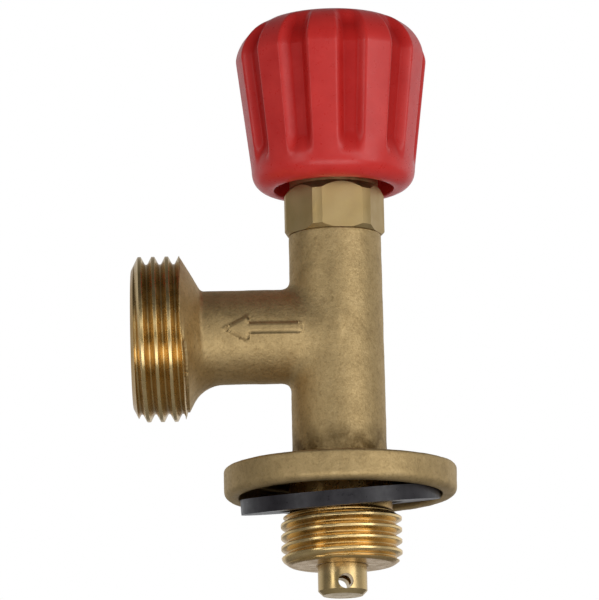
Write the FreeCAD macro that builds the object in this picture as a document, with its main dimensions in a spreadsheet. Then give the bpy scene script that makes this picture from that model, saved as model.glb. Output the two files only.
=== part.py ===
import FreeCAD, Part
import math
import os
import re
import Sketcher

# Hand-operated angle shut-off valve for a screw-in refillable gas cylinder.
# Millimetres. +Z runs up the spindle, z = 0 is the flange's underside and the outlet points along -X.

SIZES = {
    # flange, neck and the threaded spigot that screws into the cylinder
    "flange_radius": 15.42,
    "flange_thick": 3.95,
    "flange_round": 1.0,
    "flange_top_round": 0.5,
    "recess_radius": 13.4,
    "recess_deep": 2.8,
    "neck_radius": 6.8,
    "neck_bottom": -2.3,
    "neck_slope": 0.5,
    "spigot_radius": 8.0,
    "spigot_bottom": -9.1,
    "spigot_chamfer": 1.1,
    "spigot_chamfer_tall": 0.8,
    "spigot_pitch": 1.5,
    "spigot_crest_height": -7.5,
    "spigot_thread_deep": 0.92,
    "spigot_thread_root": 0.3,
    # barrel and side branch, both forged
    "barrel_foot_radius": 6.3,
    "barrel_top_radius": 6.17,
    "barrel_top": 35.35,
    "branch_height": 21.8,
    "branch_radius": 6.28,
    "branch_root_radius": 5.8,
    "branch_root_long": 7.0,
    "branch_blend": 0.6,
    "barrel_foot_blend": 0.6,
    # raised arrow on the branch that shows which way the gas flows
    "arrow_tip": 15.2,
    "arrow_tail": 4.6,
    "arrow_head_long": 3.6,
    "arrow_head_tall": 3.8,
    "arrow_shaft_tall": 1.5,
    "arrow_inside": 5.2,
    "arrow_proud": 0.3,
    # outlet: W21.8 x 1/14 left-hand male thread with a conical back
    "outlet_face": 27.2,
    "outlet_radius": 10.9,
    "outlet_length": 6.45,
    "cone_length": 2.75,
    "outlet_chamfer_radial": 1.8,
    "outlet_chamfer_axial": 0.9,
    "outlet_pitch": 1.814,
    "outlet_crest_inset": 1.06,
    "outlet_thread_deep": 1.16,
    "outlet_thread_root": 0.31,
    "outlet_bore_radius": 6.0,
    "outlet_bore_deep": 7.2,
    "outlet_bore_slope": 1.5,
    "passage_radius": 2.5,
    # gas way, seat and the bores above it
    "inlet_radius": 2.0,
    "orifice_radius": 1.7,
    "orifice_bottom": 13.0,
    "seat_top": 16.0,
    "seat_lip_radius": 2.3,
    "seat_lip_tall": 0.8,
    "chamber_radius": 3.5,
    "chamber_top": 24.4,
    "plug_bore_radius": 4.0,
    "gland_shoulder": 29.9,
    "gland_bore_radius": 5.0,
    # actuating pin
    "pin_radius": 3.25,
    "pin_shank_radius": 2.4,
    "pin_bottom": -13.1,
    "pin_top": -2.0,
    "pin_chamfer": 0.6,
    "pin_bore_radius": 1.3,
    "cross_hole_radius": 1.0,
    "cross_hole_height": -11.55,
    "cross_hole_turn": 8,
    # rubber base gasket, hanging loose in its recess with its front edge low
    "gasket_radius": 13.2,
    "gasket_bore_radius": 8.2,
    "gasket_thick": 2.0,
    "gasket_bottom": -1.25,
    "gasket_tilt": 8.8,
    "gasket_tilt_heading": -25,
    # running clearance between moving round parts, and the chamfer on turned ends
    "running_gap": 0.03,
    "end_chamfer": 0.4,
    # spindle plug, its seat disc and screw
    "plug_nose_radius": 3.1,
    "plug_head_bottom": 24.6,
    "plug_head_top": 27.0,
    "plug_slot_bottom": 23.4,
    "plug_slot_wide": 1.6,
    "plug_slot_long": 5.2,
    "seat_disc_radius": 2.7,
    "seat_disc_thick": 1.5,
    "seat_cup_deep": 1.2,
    "seat_screw_radius": 0.8,
    "seat_screw_head_radius": 1.4,
    "seat_screw_head_tall": 1.0,
    "seat_screw_long": 4.0,
    "seat_screw_chamfer": 0.3,
    "seat_screw_slot_wide": 0.5,
    "seat_screw_slot_deep": 0.5,
    # upper spindle
    "stem_radius": 3.0,
    "stem_round_top": 47.0,
    "stem_square": 4.2,
    "stem_top": 56.6,
    "collar_radius": 3.85,
    "collar_bottom": 29.2,
    "collar_top": 30.2,
    "tongue_bottom": 25.6,
    "tongue_wide": 1.5,
    "tongue_long": 5.0,
    "ring_groove_radius": 2.0,
    "ring_groove_wide": 1.2,
    "ring_section_radius": 0.5,
    "ring_gap": 0.01,
    "lower_ring_height": 32.6,
    "upper_ring_height": 37.2,
    "thrust_washer_thick": 0.45,
    # gland nut
    "nut_bottom": 30.7,
    "nut_hex_across_flats": 12.2,
    "nut_corner_radius": 6.68,
    "nut_hex_top": 41.8,
    "nut_hex_turn": 10,
    "nut_top_chamfer": 1.1,
    "nut_foot_chamfer": 0.5,
    "nut_foot_radius": 6.2,
    "nut_neck_radius": 5.9,
    "nut_neck_root": 40.8,
    "nut_neck_top": 43.6,
    "seal_bore_radius": 4.1,
    # handwheel
    "wheel_bottom": 41.6,
    "wheel_foot_radius": 10.62,
    "wheel_top_radius": 13.65,
    "wheel_top": 65.0,
    "wheel_shoulder": 6.0,
    "wheel_foot_round": 2.0,
    "wheel_mouth_radius": 8.5,
    "wheel_skirt_radius": 9.9,
    "wheel_skirt_top": 58.0,
    "wheel_ceiling": 61.0,
    "wheel_ceiling_radius": 8.4,
    "hub_radius": 6.3,
    "hub_bottom": 46.8,
    "screw_well_radius": 4.2,
    "flute_count": 10,
    "flute_angle": 15.5,
    "flute_deep": 1.4,
    "flute_bottom": 44.5,
    "flute_run_out": 2.5,
    "flute_knee_radius": 9.7,
    "flute_knee_height": 61.8,
    "flute_end_radius": 7.0,
    "flute_turn": -5.5,
    # insert, washers and screw that hold the handwheel
    "insert_radius": 4.5,
    "insert_top": 57.0,
    "insert_square": 4.25,
    "washer_radius": 3.9,
    "washer_bore_radius": 1.6,
    "washer_thick": 0.8,
    "spring_washer_radius": 2.8,
    "spring_washer_split": 0.6,
    "screw_radius": 1.5,
    "screw_head_radius": 3.0,
    "screw_head_tall": 2.0,
    "screw_head_chamfer_wide": 0.8,
    "screw_head_chamfer_tall": 0.6,
    "screw_slot_wide": 0.8,
    "screw_slot_deep": 0.9,
    "screw_bottom": 51.0,
    "screw_hole_bottom": 50.0,
}

WHITWORTH_HALF_ANGLE = 27.5
METRIC_HALF_ANGLE = 30.0
# a thread's cut starts this many pitches outside its end, and runs on this many pitches past its length
THREAD_LEAD_IN = 1.5
OUTLET_THREAD_RUN_ON = 1.45
SPIGOT_THREAD_RUN_ON = 1.3
# how far a cutting outline stands past the material that it clears
CLEAR = 1

doc = FreeCAD.newDocument("AngleShutOffValve")
sheet = doc.addObject("Spreadsheet::Sheet", "Sizes")
for row, (alias, size) in enumerate(SIZES.items(), start=1):
    sheet.set(f"A{row}", alias)
    sheet.set(f"B{row}", str(size))
    sheet.setAlias(f"B{row}", alias)
doc.recompute()


def bound(text):
    """Turn the size names in a formula into references to the sheet's cells."""
    def cell(word):
        return f"Sizes.{word.group(0)}" if word.group(0) in SIZES else word.group(0)

    return re.sub(r"[a-z_]+", cell, text)


def size_of(text):
    """The number that a formula of size names gives."""
    return float(sheet.evalExpression(bound(text)))


def new_body(name):
    body = doc.addObject("PartDesign::Body", name)
    body.Label = name
    return body


def origin_plane(body, role):
    return next(plane for plane in body.Origin.OriginFeatures if plane.Role == role)


def place_point(sketch, geometry, end, x_text, y_text):
    """Hold one sketch point at formulas for its two coordinates."""
    for kind, text in (("DistanceX", x_text), ("DistanceY", y_text)):
        constraint = sketch.addConstraint(Sketcher.Constraint(kind, -1, 1, geometry, end, size_of(text)))
        sketch.setExpression(f"Constraints[{constraint}]", bound(text))


def new_sketch(body, name, role="XZ_Plane", lift="0"):
    """A sketch on one of the body's own origin planes, lifted up Z."""
    sketch = body.newObject("Sketcher::SketchObject", name)
    sketch.AttachmentSupport = [(origin_plane(body, role), "")]
    sketch.MapMode = "FlatFace"
    lifted_axis = "z" if role == "XY_Plane" else "y"
    sketch.setExpression(f"AttachmentOffset.Base.{lifted_axis}", bound(lift))
    return sketch


def outline(body, name, corners, role="XZ_Plane", lift="0"):
    """A closed outline of straight sides through corners given as pairs of formulas."""
    sketch = new_sketch(body, name, role, lift)
    points = [FreeCAD.Vector(size_of(x), size_of(y), 0) for x, y in corners]
    for index, point in enumerate(points):
        sketch.addGeometry(Part.LineSegment(point, points[(index + 1) % len(points)]), False)
    for index, (x_text, y_text) in enumerate(corners):
        sketch.addConstraint(Sketcher.Constraint("Coincident", index - 1 if index else len(points) - 1, 2, index, 1))
        place_point(sketch, index, 1, x_text, y_text)
    return sketch


def circle(body, name, centre, radius, role="XY_Plane", lift="0"):
    sketch = new_sketch(body, name, role, lift)
    middle = FreeCAD.Vector(size_of(centre[0]), size_of(centre[1]), 0)
    sketch.addGeometry(Part.Circle(middle, FreeCAD.Vector(0, 0, 1), size_of(radius)), False)
    place_point(sketch, 0, 3, *centre)
    constraint = sketch.addConstraint(Sketcher.Constraint("Radius", 0, size_of(radius)))
    sketch.setExpression(f"Constraints[{constraint}]", bound(radius))
    return sketch


def turned(body, name, sketch, axis="V_Axis", kind="Revolution"):
    """Revolve an outline into material, or out of it when the kind is Groove."""
    feature = body.newObject(f"PartDesign::{kind}", name)
    feature.Profile = sketch
    feature.ReferenceAxis = (sketch, [axis])
    feature.Angle = 360
    return feature


def bored(body, name, sketch, axis="V_Axis"):
    """Turn an outline out of the body and make sure that it really took material away."""
    doc.recompute()
    before = body.Shape.Volume
    feature = turned(body, name, sketch, axis, "Groove")
    doc.recompute()
    if body.Shape.Volume >= before:
        raise RuntimeError(f"{name} cut nothing from {body.Label}")
    return feature


def padded(body, name, sketch, length):
    feature = body.newObject("PartDesign::Pad", name)
    feature.Profile = sketch
    feature.setExpression("Length", bound(length))
    return feature


def pocketed(body, name, sketch, length, both_ways=False, upwards=False):
    """Cut an outline down from its plane, up from it or both ways, and make sure that it took material away."""
    doc.recompute()
    before = body.Shape.Volume
    feature = body.newObject("PartDesign::Pocket", name)
    feature.Profile = sketch
    feature.Midplane = both_ways
    feature.Reversed = upwards
    feature.setExpression("Length", bound(length))
    doc.recompute()
    if body.Shape.Volume >= before:
        raise RuntimeError(f"{name} cut nothing from {body.Label}")
    return feature


def threaded(body, name, sketch, axis, pitch, length, left_handed):
    """Cut a helical groove of the sketch's shape."""
    feature = body.newObject("PartDesign::SubtractiveHelix", name)
    feature.Profile = sketch
    feature.ReferenceAxis = (sketch, [axis])
    feature.Mode = "pitch-height-angle"
    feature.setExpression("Pitch", bound(pitch))
    feature.setExpression("Height", bound(length))
    feature.LeftHanded = left_handed
    return feature


def rounded(body, name, radius, wanted):
    """Round the edges of the body that the test picks out."""
    doc.recompute()
    base = body.Tip
    edges = [f"Edge{number}" for number, edge in enumerate(base.Shape.Edges, start=1) if wanted(edge)]
    feature = body.newObject("PartDesign::Fillet", name)
    feature.Base = (base, edges)
    feature.setExpression("Radius", bound(radius))
    return feature


def is_rim(edge, radius, height):
    """Whether an edge is a level circle about Z of this radius at this height."""
    box = edge.BoundBox
    level = abs(box.ZMax - size_of(height)) < 0.01 and abs(box.ZMin - size_of(height)) < 0.01
    return level and abs(box.XLength - 2 * size_of(radius)) < 0.05


def thread_groove(body, name, thread, half_angle, along, upright):
    """The outline of one groove of the spigot's or the outlet's thread, centred at a place along its axis.

    It stands a little proud of the crests, so that the cut leaves no skin on them."""
    proud = 0.1
    slope = math.tan(math.radians(half_angle))
    depth = f"{thread}_thread_deep"
    root = f"{thread}_thread_root"
    mouth = f"({root} + {2 * slope * proud:.5f} + {2 * slope:.5f} * {depth})"
    inner = f"({thread}_radius - {depth})"
    outer = f"({thread}_radius + {proud})"
    corners = [
        (f"{along} - {mouth} / 2", outer),
        (f"{along} + {mouth} / 2", outer),
        (f"{along} + {root} / 2", inner),
        (f"{along} - {root} / 2", inner),
    ]
    if upright:
        corners = [(across, place) for place, across in corners]
        return outline(body, name, corners)
    return outline(body, name, corners, lift="branch_height")


def make_valve_body():
    body = new_body("valve_body")
    stem_line = [
        ("0", "spigot_bottom"),
        ("spigot_radius - spigot_chamfer", "spigot_bottom"),
        ("spigot_radius", "spigot_bottom + spigot_chamfer_tall"),
        ("spigot_radius", "neck_bottom - neck_slope"),
        ("neck_radius", "neck_bottom"),
        ("neck_radius", "recess_deep"),
        ("recess_radius", "recess_deep"),
        ("recess_radius", "0"),
        ("flange_radius", "0"),
        ("flange_radius", "flange_thick"),
        ("barrel_foot_radius", "flange_thick"),
        ("barrel_top_radius", "barrel_top"),
        ("0", "barrel_top"),
    ]
    turned(body, "Barrel", outline(body, "BarrelOutline", stem_line))
    branch_line = [
        ("-outlet_face", "0"),
        ("0", "0"),
        ("0", "branch_root_radius"),
        ("-branch_root_long", "branch_radius"),
        ("-outlet_face + outlet_length + cone_length", "branch_radius"),
        ("-outlet_face + outlet_length", "outlet_radius"),
        ("-outlet_face + outlet_chamfer_axial", "outlet_radius"),
        ("-outlet_face", "outlet_radius - outlet_chamfer_radial"),
    ]
    turned(body, "Branch", outline(body, "BranchOutline", branch_line, lift="branch_height"), "H_Axis")
    rounded(body, "FlangeRound", "flange_round", lambda edge: is_rim(edge, "flange_radius", "0"))
    rounded(body, "FlangeTopRound", "flange_top_round", lambda edge: is_rim(edge, "flange_radius", "flange_thick"))
    rounded(body, "BranchBlend", "branch_blend", is_branch_root)
    rounded(body, "BarrelFootBlend", "barrel_foot_blend",
            lambda edge: is_rim(edge, "barrel_foot_radius", "flange_thick"))
    doc.recompute()
    add_flow_arrow(body)
    outlet_groove = thread_groove(
        body, "OutletThreadGroove", "outlet", WHITWORTH_HALF_ANGLE,
        f"(-outlet_face + outlet_crest_inset - {THREAD_LEAD_IN} * outlet_pitch)", upright=False)
    threaded(body, "OutletThread", outlet_groove, "H_Axis", "outlet_pitch",
             f"outlet_length + {OUTLET_THREAD_RUN_ON} * outlet_pitch", left_handed=True)
    doc.recompute()
    spigot_groove = thread_groove(
        body, "SpigotThreadGroove", "spigot", METRIC_HALF_ANGLE,
        f"(spigot_crest_height - {THREAD_LEAD_IN} * spigot_pitch)", upright=True)
    threaded(body, "SpigotThread", spigot_groove, "V_Axis", "spigot_pitch",
             f"neck_bottom - spigot_bottom + {SPIGOT_THREAD_RUN_ON} * spigot_pitch", left_handed=False)
    spindle_way = [
        ("0", f"spigot_bottom - {CLEAR}"),
        ("pin_shank_radius", f"spigot_bottom - {CLEAR}"),
        ("pin_shank_radius", "pin_top"),
        ("inlet_radius", "pin_top"),
        ("inlet_radius", "orifice_bottom"),
        ("orifice_radius", "orifice_bottom"),
        ("orifice_radius", "seat_top"),
        ("seat_lip_radius", "seat_top"),
        ("seat_lip_radius", "seat_top - seat_lip_tall"),
        ("chamber_radius", "seat_top - seat_lip_tall"),
        ("chamber_radius", "chamber_top"),
        ("plug_bore_radius", "chamber_top"),
        ("plug_bore_radius", "gland_shoulder"),
        ("gland_bore_radius", "gland_shoulder"),
        ("gland_bore_radius", f"barrel_top + {CLEAR}"),
        ("0", f"barrel_top + {CLEAR}"),
    ]
    bored(body, "SpindleWay", outline(body, "SpindleWayOutline", spindle_way))
    outlet_way = [
        (f"-outlet_face - {CLEAR}", "0"),
        (f"-{CLEAR}", "0"),
        (f"-{CLEAR}", "passage_radius"),
        ("-outlet_face + outlet_bore_deep + outlet_bore_slope", "passage_radius"),
        ("-outlet_face + outlet_bore_deep", "outlet_bore_radius"),
        (f"-outlet_face - {CLEAR}", "outlet_bore_radius"),
    ]
    bored(body, "OutletWay", outline(body, "OutletWayOutline", outlet_way, lift="branch_height"), "H_Axis")
    return body


def add_flow_arrow(body):
    """A raised arrow on the branch's front, its point towards the outlet."""
    neck = "-arrow_tip + arrow_head_long"
    arrow = outline(body, "ArrowOutline", [
        ("-arrow_tip", "0"),
        (neck, "-arrow_head_tall / 2"),
        (neck, "-arrow_shaft_tall / 2"),
        ("-arrow_tail", "-arrow_shaft_tall / 2"),
        ("-arrow_tail", "arrow_shaft_tall / 2"),
        (neck, "arrow_shaft_tall / 2"),
        (neck, "arrow_head_tall / 2"),
    ], lift="branch_height")
    arrow.setExpression("AttachmentOffset.Base.z", bound("arrow_inside"))
    padded(body, "FlowArrow", arrow, "branch_radius + arrow_proud - arrow_inside")
    doc.recompute()


def is_branch_root(edge):
    """Whether an edge is part of the curve where the branch leaves the barrel."""
    if edge.Curve.TypeId in ("Part::GeomCircle", "Part::GeomLine"):
        return False
    middle = edge.valueAt((edge.FirstParameter + edge.LastParameter) / 2)
    return middle.x < 0.5 and abs(middle.z - size_of("branch_height")) < 8


def make_actuating_pin():
    body = new_body("actuating_pin")
    pin_line = [
        ("0", "pin_bottom"),
        ("pin_radius - pin_chamfer", "pin_bottom"),
        ("pin_radius", "pin_bottom + pin_chamfer"),
        ("pin_radius", "spigot_bottom"),
        ("pin_shank_radius", "spigot_bottom"),
        ("pin_shank_radius", "pin_top"),
        ("pin_bore_radius", "pin_top"),
        ("pin_bore_radius", "cross_hole_height"),
        ("0", "cross_hole_height"),
    ]
    turned(body, "Pin", outline(body, "PinOutline", pin_line))
    hole = circle(body, "CrossHoleOutline", ("0", "cross_hole_height"), "cross_hole_radius", "XZ_Plane")
    pocketed(body, "CrossHole", hole, "pin_radius * 4", both_ways=True)
    body.setExpression("Placement.Rotation.Angle", bound("cross_hole_turn"))
    return body


def washer(name, inner, outer, bottom, thick):
    """A flat ring about the spindle axis."""
    body = new_body(name)
    top = f"{bottom} + {thick}"
    corners = [(inner, bottom), (outer, bottom), (outer, top), (inner, top)]
    turned(body, "Ring", outline(body, "RingOutline", corners))
    return body


def make_base_gasket():
    """The gasket hangs tilted about a level axis near X, its front edge low and its outlet side a little low."""
    body = washer("base_gasket", "gasket_bore_radius", "gasket_radius", "0", "gasket_thick")
    heading = math.radians(size_of("gasket_tilt_heading"))
    axis = FreeCAD.Vector(math.cos(heading), math.sin(heading), 0)
    body.Placement = FreeCAD.Placement(FreeCAD.Vector(), FreeCAD.Rotation(axis, 1))
    body.setExpression("Placement.Rotation.Angle", bound("gasket_tilt"))
    body.setExpression("Placement.Base.z", bound("gasket_bottom"))
    return body


def make_spindle_plug():
    body = new_body("spindle_plug")
    cup_rim = "seat_top + seat_disc_thick - seat_cup_deep"
    cup_floor = "seat_top + seat_disc_thick"
    screw_top = "seat_top + seat_screw_long"
    corners = [
        ("0", screw_top),
        ("seat_screw_radius", screw_top),
        ("seat_screw_radius", cup_floor),
        ("seat_disc_radius", cup_floor),
        ("seat_disc_radius", cup_rim),
        ("plug_nose_radius", cup_rim),
        ("plug_nose_radius", "plug_head_bottom"),
        ("plug_bore_radius - running_gap", "plug_head_bottom + end_chamfer"),
        ("plug_bore_radius - running_gap", "plug_head_top - end_chamfer"),
        ("plug_bore_radius - end_chamfer", "plug_head_top"),
        ("0", "plug_head_top"),
    ]
    turned(body, "Plug", outline(body, "PlugOutline", corners))
    slot = rectangle(body, "SlotOutline", "plug_slot_wide", "plug_slot_long", "plug_head_top")
    pocketed(body, "Slot", slot, "plug_head_top - plug_slot_bottom")
    return body


def rectangle(body, name, wide, long, height):
    """A level rectangle centred on the spindle axis, its long side along Y."""
    corners = [
        (f"-{wide} / 2", f"-{long} / 2"),
        (f"{wide} / 2", f"-{long} / 2"),
        (f"{wide} / 2", f"{long} / 2"),
        (f"-{wide} / 2", f"{long} / 2"),
    ]
    return outline(body, name, corners, "XY_Plane", height)


def make_seat_screw():
    body = new_body("seat_screw")
    head_bottom = "seat_top - seat_screw_head_tall"
    corners = [
        ("0", head_bottom),
        ("seat_screw_head_radius - seat_screw_chamfer", head_bottom),
        ("seat_screw_head_radius", f"{head_bottom} + seat_screw_chamfer"),
        ("seat_screw_head_radius", "seat_top"),
        ("seat_screw_radius", "seat_top"),
        ("seat_screw_radius", "seat_top + seat_screw_long"),
        ("0", "seat_top + seat_screw_long"),
    ]
    turned(body, "Screw", outline(body, "ScrewOutline", corners))
    slot = rectangle(body, "SlotOutline", "seat_screw_slot_wide", "seat_screw_head_radius * 4", head_bottom)
    pocketed(body, "Slot", slot, "seat_screw_slot_deep", upwards=True)
    return body


def make_upper_spindle():
    body = new_body("upper_spindle")
    corners = [("0", "collar_bottom"), ("collar_radius", "collar_bottom"), ("collar_radius", "collar_top"),
               ("stem_radius", "collar_top")]
    for height in ("lower_ring_height", "upper_ring_height"):
        corners += [
            ("stem_radius", f"{height} - ring_groove_wide / 2"),
            ("ring_groove_radius", f"{height} - ring_groove_wide / 2"),
            ("ring_groove_radius", f"{height} + ring_groove_wide / 2"),
            ("stem_radius", f"{height} + ring_groove_wide / 2"),
        ]
    corners += [("stem_radius", "stem_round_top"), ("0", "stem_round_top")]
    turned(body, "Stem", outline(body, "StemOutline", corners))
    square = rectangle(body, "SquareOutline", "stem_square", "stem_square", "stem_round_top")
    padded(body, "Square", square, "stem_top - stem_round_top")
    tongue = rectangle(body, "TongueOutline", "tongue_wide", "tongue_long", "tongue_bottom")
    padded(body, "Tongue", tongue, "collar_bottom - tongue_bottom")
    hole = circle(body, "ScrewHoleOutline", ("0", "0"), "screw_radius", lift="stem_top")
    pocketed(body, "ScrewHole", hole, "stem_top - screw_hole_bottom")
    return body


def make_spindle_ring(name, height):
    """One O-ring in its groove on the stem, just clear of the groove and of the gland nut's bore."""
    ring = doc.addObject("Part::Torus", name)
    ring.Label = name
    ring.setExpression("Radius1", bound("stem_radius + ring_gap - ring_section_radius"))
    ring.setExpression("Radius2", bound("ring_section_radius"))
    ring.setExpression("Placement.Base.z", bound(height))
    return ring


def make_gland_nut():
    body = new_body("gland_nut")
    hexagon = []
    for corner in range(6):
        angle = f"(nut_hex_turn + {60 * corner}) * 1deg"
        reach = "nut_hex_across_flats / sqrt(3)"
        hexagon.append((f"{reach} * cos({angle})", f"{reach} * sin({angle})"))
    padded(body, "Hex", outline(body, "HexOutline", hexagon, "XY_Plane", "barrel_top"), "nut_hex_top - barrel_top")
    turned(body, "Shank", outline(body, "ShankOutline", [
        ("0", "nut_bottom"),
        ("gland_bore_radius - end_chamfer", "nut_bottom"),
        ("gland_bore_radius - running_gap", "nut_bottom + end_chamfer"),
        ("gland_bore_radius - running_gap", "nut_neck_root"),
        ("nut_neck_radius", "nut_neck_root"),
        ("nut_neck_radius", "nut_neck_top"),
        ("0", "nut_neck_top"),
    ]))
    corner_reach = f"nut_hex_across_flats / sqrt(3) + {CLEAR}"
    bored(body, "CornerTurning", outline(body, "CornerOutline", [
        ("nut_foot_radius", "barrel_top"),
        ("nut_foot_radius", f"barrel_top - {CLEAR}"),
        (corner_reach, f"barrel_top - {CLEAR}"),
        (corner_reach, f"nut_hex_top + {CLEAR}"),
        ("nut_neck_radius", f"nut_hex_top + {CLEAR}"),
        ("nut_neck_radius", "nut_hex_top"),
        ("nut_corner_radius", "nut_hex_top - nut_top_chamfer"),
        ("nut_corner_radius", "barrel_top + nut_foot_chamfer"),
    ]))
    bored(body, "StemWay", outline(body, "StemWayOutline", [
        ("0", f"nut_bottom - {CLEAR}"),
        ("stem_radius + running_gap", f"nut_bottom - {CLEAR}"),
        ("stem_radius + running_gap", f"nut_neck_top + {CLEAR}"),
        ("0", f"nut_neck_top + {CLEAR}"),
    ]))
    return body


def make_handwheel():
    body = new_body("handwheel")
    corners = [
        ("wheel_mouth_radius", "wheel_bottom"),
        ("wheel_skirt_radius", "wheel_skirt_top"),
        ("wheel_ceiling_radius", "wheel_ceiling"),
        ("hub_radius", "wheel_ceiling"),
        ("hub_radius", "hub_bottom"),
        ("insert_radius", "hub_bottom"),
        ("insert_radius", "insert_top"),
        ("screw_well_radius", "insert_top"),
        ("screw_well_radius", "wheel_top"),
        ("wheel_top_radius", "wheel_top"),
        ("wheel_foot_radius", "wheel_bottom"),
    ]
    turned(body, "Wheel", outline(body, "WheelOutline", corners))
    rounded(body, "Shoulder", "wheel_shoulder", lambda edge: is_rim(edge, "wheel_top_radius", "wheel_top"))
    rounded(body, "FootRound", "wheel_foot_round", lambda edge: is_rim(edge, "wheel_foot_radius", "wheel_bottom"))
    doc.recompute()
    flute = make_flute(body)
    pattern = body.newObject("PartDesign::PolarPattern", "Flutes")
    pattern.Originals = [flute]
    pattern.Axis = (origin_plane(body, "Z_Axis"), [""])
    pattern.Angle = 360
    pattern.setExpression("Occurrences", bound("flute_count"))
    body.Tip = pattern
    body.setExpression("Placement.Rotation.Angle", bound("flute_turn"))
    return body


def make_flute(body):
    """One finger flute: a sector cut whose floor follows the wheel's side, one depth inside it."""
    slope = "(wheel_top_radius - wheel_foot_radius) / (wheel_top - wheel_bottom)"
    deep_start = "flute_bottom + flute_run_out"
    shoulder_start = "wheel_top - wheel_shoulder"

    def side(height, inset):
        return f"wheel_foot_radius + ({height} - wheel_bottom) * {slope} - {inset}"

    corners = [
        (side("flute_bottom", "0"), "flute_bottom"),
        (side(deep_start, "flute_deep"), deep_start),
        (side(shoulder_start, "flute_deep"), shoulder_start),
        ("flute_knee_radius", "flute_knee_height"),
        ("flute_end_radius", "wheel_top"),
        (f"wheel_top_radius + {CLEAR}", f"wheel_top + {CLEAR}"),
        (f"wheel_top_radius + {CLEAR}", "flute_bottom"),
    ]
    sketch = outline(body, "FluteOutline", corners)
    doc.recompute()
    before = body.Shape.Volume
    flute = turned(body, "Flute", sketch, kind="Groove")
    flute.Midplane = True
    flute.setExpression("Angle", bound("flute_angle"))
    doc.recompute()
    if body.Shape.Volume >= before:
        raise RuntimeError("the flute cut nothing")
    return flute


def make_handwheel_insert():
    body = washer("handwheel_insert", "0", "insert_radius", "stem_round_top", "(insert_top - stem_round_top)")
    square = rectangle(body, "SquareOutline", "insert_square", "insert_square", "insert_top")
    pocketed(body, "SquareHole", square, f"insert_top - stem_round_top + {CLEAR}")
    return body


def make_spring_washer():
    body = washer("spring_washer", "washer_bore_radius", "spring_washer_radius", "insert_top + washer_thick",
                  "washer_thick")
    top = "insert_top + 2 * washer_thick"
    split = outline(body, "SplitOutline", [
        ("0", "-spring_washer_split / 2"),
        (f"spring_washer_radius + {CLEAR}", "-spring_washer_split / 2"),
        (f"spring_washer_radius + {CLEAR}", "spring_washer_split / 2"),
        ("0", "spring_washer_split / 2"),
    ], "XY_Plane", top)
    pocketed(body, "Split", split, "2 * washer_thick")
    return body


def make_handwheel_screw():
    body = new_body("handwheel_screw")
    head_bottom = "insert_top + 2 * washer_thick"
    head_top = f"{head_bottom} + screw_head_tall"
    turned(body, "Screw", outline(body, "ScrewOutline", [
        ("0", "screw_bottom"),
        ("screw_radius - end_chamfer", "screw_bottom"),
        ("screw_radius", "screw_bottom + end_chamfer"),
        ("screw_radius", head_bottom),
        ("screw_head_radius", head_bottom),
        ("screw_head_radius", f"{head_top} - screw_head_chamfer_tall"),
        ("screw_head_radius - screw_head_chamfer_wide", head_top),
        ("0", head_top),
    ]))
    slot = rectangle(body, "SlotOutline", "screw_slot_wide", "screw_head_radius * 4", head_top)
    pocketed(body, "Slot", slot, "screw_slot_deep")
    return body


subparts = [
    make_valve_body(),
    make_actuating_pin(),
    make_base_gasket(),
    make_spindle_plug(),
    washer("seat_disc", "seat_screw_radius", "seat_disc_radius", "seat_top", "seat_disc_thick"),
    make_seat_screw(),
    make_upper_spindle(),
    washer("thrust_washer", "stem_radius + running_gap", "collar_radius", "collar_top", "thrust_washer_thick"),
    make_spindle_ring("spindle_ring_lower", "lower_ring_height"),
    make_spindle_ring("spindle_ring_upper", "upper_ring_height"),
    washer("gland_seal", "seal_bore_radius", "gland_bore_radius - running_gap", "gland_shoulder",
           "(nut_bottom - gland_shoulder)"),
    make_gland_nut(),
    make_handwheel(),
    make_handwheel_insert(),
    washer("handwheel_washer", "washer_bore_radius", "washer_radius", "insert_top", "washer_thick"),
    make_spring_washer(),
    make_handwheel_screw(),
]
doc.recompute()

failed = [item.Label for item in doc.Objects if {"Invalid", "Error"} & set(item.State)]
failed += [part.Label for part in subparts if part.Shape.isNull() or not part.Shape.isValid()]
if failed:
    raise RuntimeError(f"these did not build: {failed}")

os.makedirs("parts", exist_ok=True)
for part in subparts:
    part.Shape.exportStep(f"parts/{part.Label}.step")
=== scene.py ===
import math

import bmesh
import bpy
import numpy as np
from mathutils import Matrix, Vector, noise


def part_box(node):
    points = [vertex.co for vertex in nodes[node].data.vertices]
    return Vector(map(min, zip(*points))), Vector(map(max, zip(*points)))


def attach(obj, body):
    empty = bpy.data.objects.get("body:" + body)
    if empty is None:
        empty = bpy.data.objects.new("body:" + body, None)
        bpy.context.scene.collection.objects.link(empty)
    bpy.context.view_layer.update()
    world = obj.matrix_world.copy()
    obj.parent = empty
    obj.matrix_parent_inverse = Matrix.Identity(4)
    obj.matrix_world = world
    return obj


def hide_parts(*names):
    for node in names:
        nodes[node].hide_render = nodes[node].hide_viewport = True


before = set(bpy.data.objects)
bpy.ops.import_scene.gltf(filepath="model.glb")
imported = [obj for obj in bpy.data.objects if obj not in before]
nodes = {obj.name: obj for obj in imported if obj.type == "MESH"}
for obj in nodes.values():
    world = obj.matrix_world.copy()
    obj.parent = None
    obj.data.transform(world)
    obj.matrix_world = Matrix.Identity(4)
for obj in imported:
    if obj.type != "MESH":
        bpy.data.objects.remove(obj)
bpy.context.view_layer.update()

MM = 0.001


# ---------------------------------------------------------------- sizes, in mm: the first six read from the parts in model.glb, the rest given

def low(node):
    return [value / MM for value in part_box(node)[0]]


def high(node):
    return [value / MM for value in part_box(node)[1]]


FLANGE_RADIUS = high("valve_body")[0]
OUTLET_FACE = low("valve_body")[0]
SPIGOT_BOTTOM = low("valve_body")[2]
BARREL_TOP = high("valve_body")[2]
WHEEL_BOTTOM = low("handwheel")[2]
WHEEL_TOP = high("handwheel")[2]

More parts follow.
